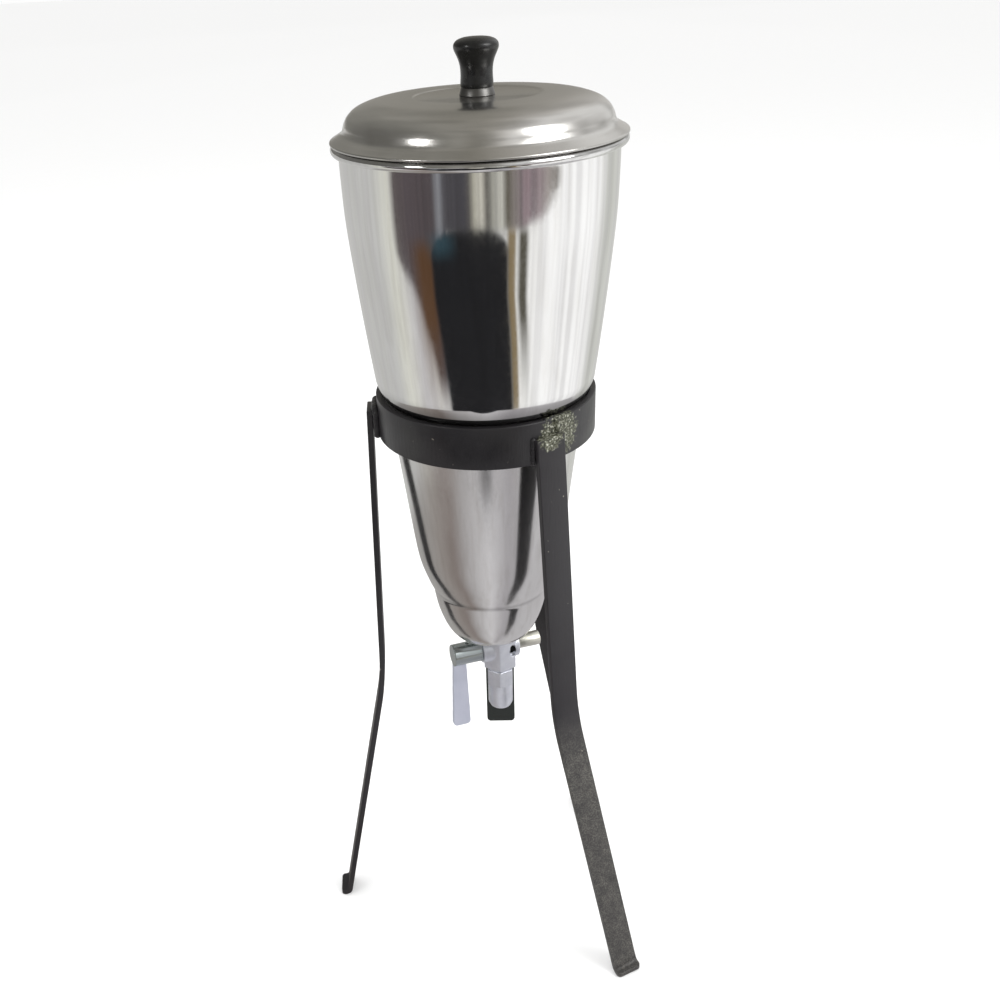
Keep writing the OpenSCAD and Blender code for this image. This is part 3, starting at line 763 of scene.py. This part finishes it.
def makeCard():
    # what the bright wall of the vessel mirrors, a dark table edge and a dim room round the floor;
    # the card shows in reflections only
    deselectAll()
    bpy.ops.mesh.primitive_circle_add(vertices=96, radius=14, fill_type="NGON", location=(0, 0, 0.0015))
    card = bpy.context.object
    bpy.ops.object.transform_apply(location=True)
    card.name = "mirroredRoom"
    material, tree, shader, place = newMaterial("mirroredRoom")
    sideways = addNode(tree, "SeparateXYZ", {0: place}, "X")
    away = addNode(tree, "Math", {0: addNode(tree, "SeparateXYZ", {0: place}, "Y"), 1: -1.0},
                   operation="MULTIPLY")
    azimuth = addNode(tree, "Math",
                      {0: addNode(tree, "Math", {0: sideways, 1: away}, operation="ARCTAN2")},
                      operation="DEGREES")
    flat = addNode(tree, "VectorMath", {0: place, 1: (1, 1, 0)}, operation="MULTIPLY")
    reach = addNode(tree, "VectorMath", {0: flat}, "Value", operation="LENGTH")
    around = addNode(tree, "MapRange", {"Value": azimuth, "From Min": -180.0, "From Max": 180.0})

    def at(degrees):
        return (degrees + 180) / 360

    def within(value, low, high, soft):
        rise = addNode(tree, "MapRange",
                       {"Value": value, "From Min": low - soft, "From Max": low + soft})
        fall = addNode(tree, "MapRange",
                       {"Value": value, "From Min": high - soft, "From Max": high + soft, "To Min": 1.0,
                        "To Max": 0.0})
        return addNode(tree, "Math", {0: rise, 1: fall}, operation="MULTIPLY")

    base = addNode(tree, "ValToRGB", {0: around},
                   stops=[(at(-180), "#b9b9b6"), (at(-95), "#bfbfbd"), (at(-80), "#d6d6cc"),
                          (at(-62), "#c4c2c4"), (at(-45), "#cfcdca"), (at(24), "#d9d9d6"),
                          (at(34), "#f6f6f4"), (at(60), "#ffffff"), (at(108), "#ffffff"),
                          (at(128), "#bdbeb9"), (at(140), "#c9cac5"), (at(180), "#bfbfbd")])
    near = addNode(tree, "ValToRGB", {0: around},
                   stops=[(at(-120), "#9c9a98"), (at(-80), "#8f8985"), (at(-55), "#7f7672"),
                          (at(-35), "#a5a2a2"), (at(0), "#c9c7c9"), (at(30), "#a19ea1"),
                          (at(70), "#b5b3b5")])
    streaks = addNode(tree, "TexNoise", {"W": azimuth, "Scale": 0.09, "Detail": 3.0},
                      noise_dimensions="1D")
    base = addNode(tree, "Mix", {0: addNode(tree, "ValToRGB", {0: streaks},
                                            stops=[(0.45, 0.0), (0.6, 0.35)]), 6: base, 7: "#b4b2b4"},
                   2, data_type="RGBA")
    base = addNode(tree, "Mix", {0: within(reach, 0.0, 0.79, 0.03), 6: base, 7: near}, 2,
                   data_type="RGBA")
    # the dim far room, in upright streaks of cloth, door frames and daylight
    far = addNode(tree, "ValToRGB", {0: around},
                  stops=[(at(-78), "#67605f"), (at(-60), "#5b5356"), (at(-38), "#524b4d"),
                         (at(-33), "#9a9ca2"), (at(-29), "#504e52"), (at(-12), "#4a494e"),
                         (at(-8), "#625f5c"), (at(-5), "#b9b6a8"), (at(1), "#d8d5ca"),
                         (at(5), "#5b5853"), (at(10), "#a9a89f"), (at(17), "#d0cfc7"),
                         (at(21), "#605c50"), (at(27), "#8f8884"), (at(33), "#84787c"),
                         (at(37), "#a8949a"), (at(42), "#82777b"), (at(47), "#9f9094"),
                         (at(56), "#a39c97"), (at(64), "#8f8b86"), (at(68), "#bdb9b4")])
    spokes = addNode(tree, "TexNoise", {"W": azimuth, "Scale": 0.45, "Detail": 3.0},
                     noise_dimensions="1D")
    far = addNode(tree, "Mix", {0: addNode(tree, "ValToRGB", {0: spokes},
                                           stops=[(0.4, 0.35), (0.62, 0.0)]), 6: far, 7: "#3d3a3d"}, 2,
                  data_type="RGBA")
    # how near it comes, by azimuth: metres over ten
    nearness = addNode(tree, "ValToRGB", {0: around},
                       stops=[(at(-80), 0.23), (at(-76), 0.185), (at(-69), 0.162), (at(-62), 0.15),
                              (at(-55), 0.132), (at(-49), 0.112), (at(-44), 0.095), (at(-31), 0.09),
                              (at(-29), 0.226), (at(23), 0.226), (at(30), 0.225), (at(50), 0.255),
                              (at(66), 0.32)])
    limit = addNode(tree, "Math", {0: nearness, 1: 10.0}, operation="MULTIPLY")
    past = addNode(tree, "Math", {0: reach, 1: limit}, operation="SUBTRACT")
    farBand = addNode(tree, "Math",
                      {0: within(azimuth, -75.0, 66.0, 3.0), 1: within(past, 0.0, 20.0, 0.07)},
                      operation="MULTIPLY")
    colour = addNode(tree, "Mix", {0: farBand, 6: base, 7: far}, 2, data_type="RGBA")
    # what stands in front swings to the right as it comes near
    swing = addNode(tree, "MapRange",
                    {"Value": reach, "From Min": 1.35, "From Max": 0.85, "To Min": 0.0, "To Max": 7.0})
    swung = addNode(tree, "Math", {0: azimuth, 1: swing}, operation="SUBTRACT")
    warm = addNode(tree, "Math",
                   {0: within(azimuth, -58.0, -38.0, 6.0), 1: within(reach, 1.05, 2.0, 0.2)},
                   operation="MULTIPLY")
    colour = addNode(tree, "Mix", {0: addNode(tree, "Math", {0: warm, 1: 0.8}, operation="MULTIPLY"),
                                   6: colour, 7: "#5c4026"}, 2, data_type="RGBA")
    tanLine = addNode(tree, "Math",
                      {0: within(swung, 21.5, 28.0, 1.0), 1: within(reach, 0.8, 2.25, 0.08)},
                      operation="MULTIPLY")
    colour = addNode(tree, "Mix", {0: tanLine, 6: colour, 7: "#86775c"}, 2, data_type="RGBA")
    shade = addNode(tree, "Math", {0: within(swung, 30.5, 38.5, 1.8), 1: within(reach, 1.05, 2.3, 0.2)},
                    operation="MULTIPLY")
    colour = addNode(tree, "Mix", {0: addNode(tree, "Math", {0: shade, 1: 0.95}, operation="MULTIPLY"),
                                   6: colour, 7: "#3f3b2c"}, 2, data_type="RGBA")
    # both ends of the dark strip are rounded
    middle = addNode(tree, "Math",
                     {0: addNode(tree, "Math", {0: azimuth, 1: 9.5}, operation="ADD"), 1: 33.0},
                     operation="DIVIDE")
    bulge = addNode(tree, "Math",
                    {0: addNode(tree, "Math",
                                {0: addNode(tree, "Math", {0: middle}, operation="ABSOLUTE"), 1: 4.0},
                                operation="POWER"), 1: 0.55}, operation="MULTIPLY")
    stripEnd = addNode(tree, "Math", {0: reach, 1: bulge}, operation="ADD")
    tip = addNode(tree, "Math",
                  {0: addNode(tree, "Math", {0: azimuth, 1: 2.0}, operation="ADD"), 1: 14.0},
                  operation="DIVIDE")
    tipRound = addNode(tree, "Math",
                       {0: addNode(tree, "Math",
                                   {0: addNode(tree, "Math", {0: tip, 1: tip}, operation="MULTIPLY"),
                                    1: 0.13}, operation="MULTIPLY"), 1: 0.13}, operation="MINIMUM")
    stripStart = addNode(tree, "Math", {0: reach, 1: tipRound}, operation="SUBTRACT")
    dark = addNode(tree, "Math",
                   {0: within(swung, -42.0, 22.0, 1.5),
                    1: addNode(tree, "Math",
                               {0: within(stripEnd, -1.0, 2.3, 0.05),
                                1: within(stripStart, 0.645, 20.0, 0.012)}, operation="MULTIPLY")},
                   operation="MULTIPLY")
    colour = addNode(tree, "Mix", {0: dark, 6: colour, 7: "#232325"}, 2, data_type="RGBA")
    tealEdge = addNode(tree, "Math",
                       {0: within(azimuth, -42.0, -24.0, 6.0), 1: within(reach, 1.75, 2.2, 0.12)},
                       operation="MULTIPLY")
    colour = addNode(tree, "Mix", {0: addNode(tree, "Math", {0: tealEdge, 1: 0.5}, operation="MULTIPLY"),
                                   6: colour, 7: "#3c5a66"}, 2, data_type="RGBA")
    glow = addNode(tree, "Emission", {"Color": colour, "Strength": 1.22})
    feed(tree, tree.nodes["Material Output"], {"Surface": glow})
    card.data.materials.append(material)
    for ray in ("camera", "diffuse", "shadow", "transmission", "volume_scatter"):
        setattr(card, "visible_" + ray, False)


surroundings()
makeFloor()
makeCard()
softLight("rightWindow", (2.2, -1.2, 2.2), (0, 0, 0.45), (1.6, 2.0), 38)
softLight("leftFill", (-2.4, -2.0, 1.9), (0, 0, 0.45), (0.8, 0.8), 14)
softLight("topSoft", (0.0, 0.4, 3.2), (0, 0, 0.5), (2.4, 2.4), 26, False)

# the camera looks down on the stand, held slightly rolled
camera = {"place": (0.0, -0.8549, 0.8918), "yaw": -4.35, "pitch": 26.92, "roll": -3.51,
          "lens": 39.6, "sensor": 36, "shiftX": 0.0865}
yaw, pitch, roll = (radians(camera[k]) for k in ("yaw", "pitch", "roll"))
forward = Vector((sin(yaw) * cos(pitch), cos(yaw) * cos(pitch), -sin(pitch)))
rightward = Vector((cos(yaw), -sin(yaw), 0))
upward = rightward.cross(forward)
across = cos(roll) * rightward + sin(roll) * upward
upright = -sin(roll) * rightward + cos(roll) * upward
bpy.ops.object.camera_add(location=camera["place"])
view = bpy.context.object
view.rotation_euler = Matrix((across, upright, -forward)).transposed().to_euler()
view.data.lens = camera["lens"]
view.data.sensor_width = camera["sensor"]
view.data.shift_x = camera["shiftX"]
view.data.clip_start = 0.02
bpy.context.scene.camera = view
bpy.context.scene.view_settings.view_transform = "Standard"
print("studio ready")
